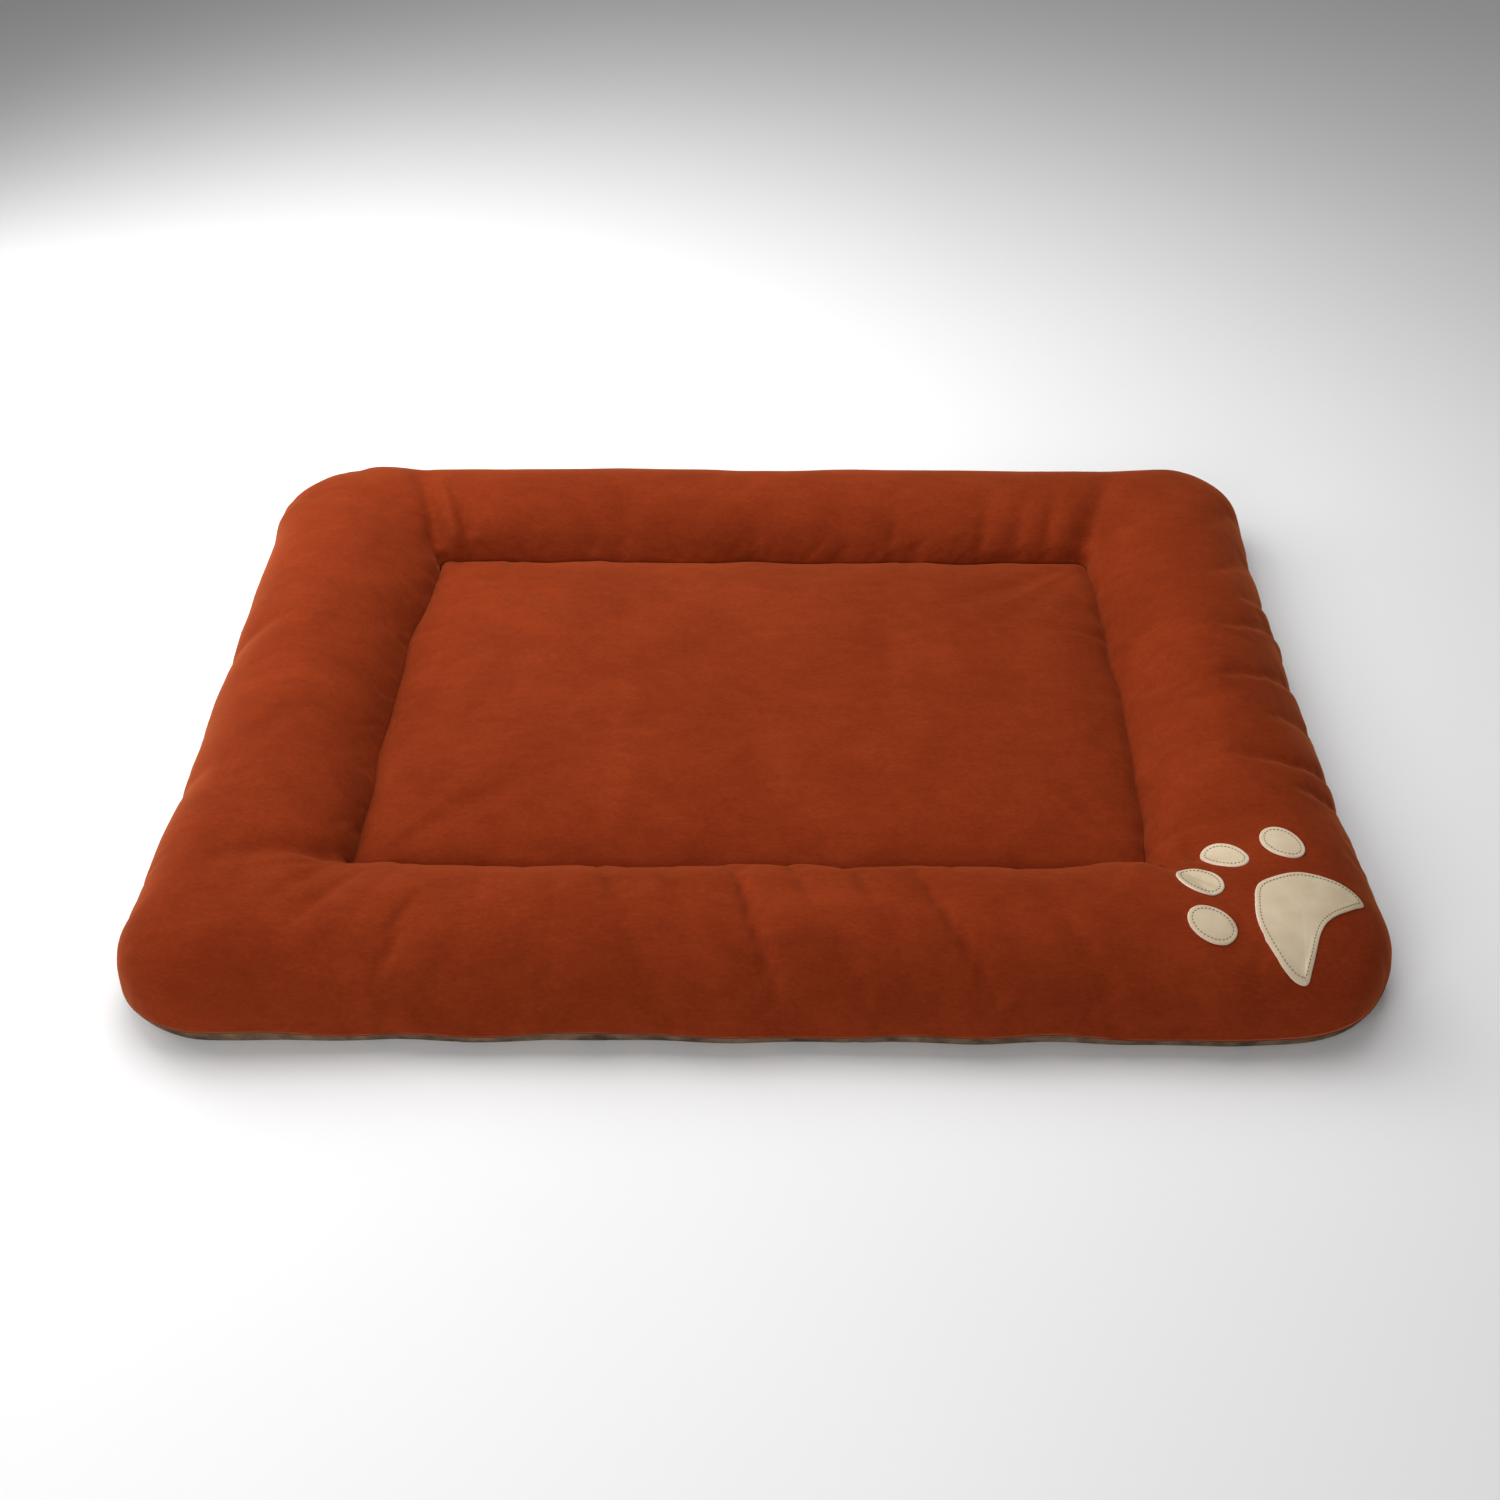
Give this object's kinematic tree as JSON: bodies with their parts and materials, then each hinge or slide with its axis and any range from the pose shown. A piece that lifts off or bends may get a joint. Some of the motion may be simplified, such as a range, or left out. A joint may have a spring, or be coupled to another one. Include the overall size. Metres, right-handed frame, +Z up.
{
  "type": "pet cushion bed",
  "caption": "Flat rectangular pet cushion with a padded bolster all round, a padded middle and a paw-shaped patch set on one corner.",
  "frame": {"origin": "middle of the underside, on the floor", "axes": "+X along the bed's length, -Y towards the front, +Z up; the paw is on the front right corner"},
  "size_m": [0.91, 0.67, 0.0837],
  "materials": {
    "velvet": "short-pile velvet",
    "base_cloth": "plain woven",
    "filling": "loose polyester fibre",
    "seam_thread": "twisted polyester thread",
    "leatherette": "matt grained sheet with raw edges",
    "patch_thread": "twisted polyester thread"
  },
  "bodies": {
    "root": {"top_cover": "velvet", "base_cover": "base_cloth", "bolster_fill": "filling", "centre_fill": "filling", "edge_seam_thread": "seam_thread", "middle_seam_thread": "seam_thread", "paw_main_pad": "leatherette", "paw_main_pad_stitches": "patch_thread", "paw_toe_front_outer": "leatherette", "paw_toe_front_outer_stitches": "patch_thread", "paw_toe_front_inner": "leatherette", "paw_toe_front_inner_stitches": "patch_thread", "paw_toe_side_inner": "leatherette", "paw_toe_side_inner_stitches": "patch_thread", "paw_toe_side_outer": "leatherette", "paw_toe_side_outer_stitches": "patch_thread"}
  },
  "joints": []
}
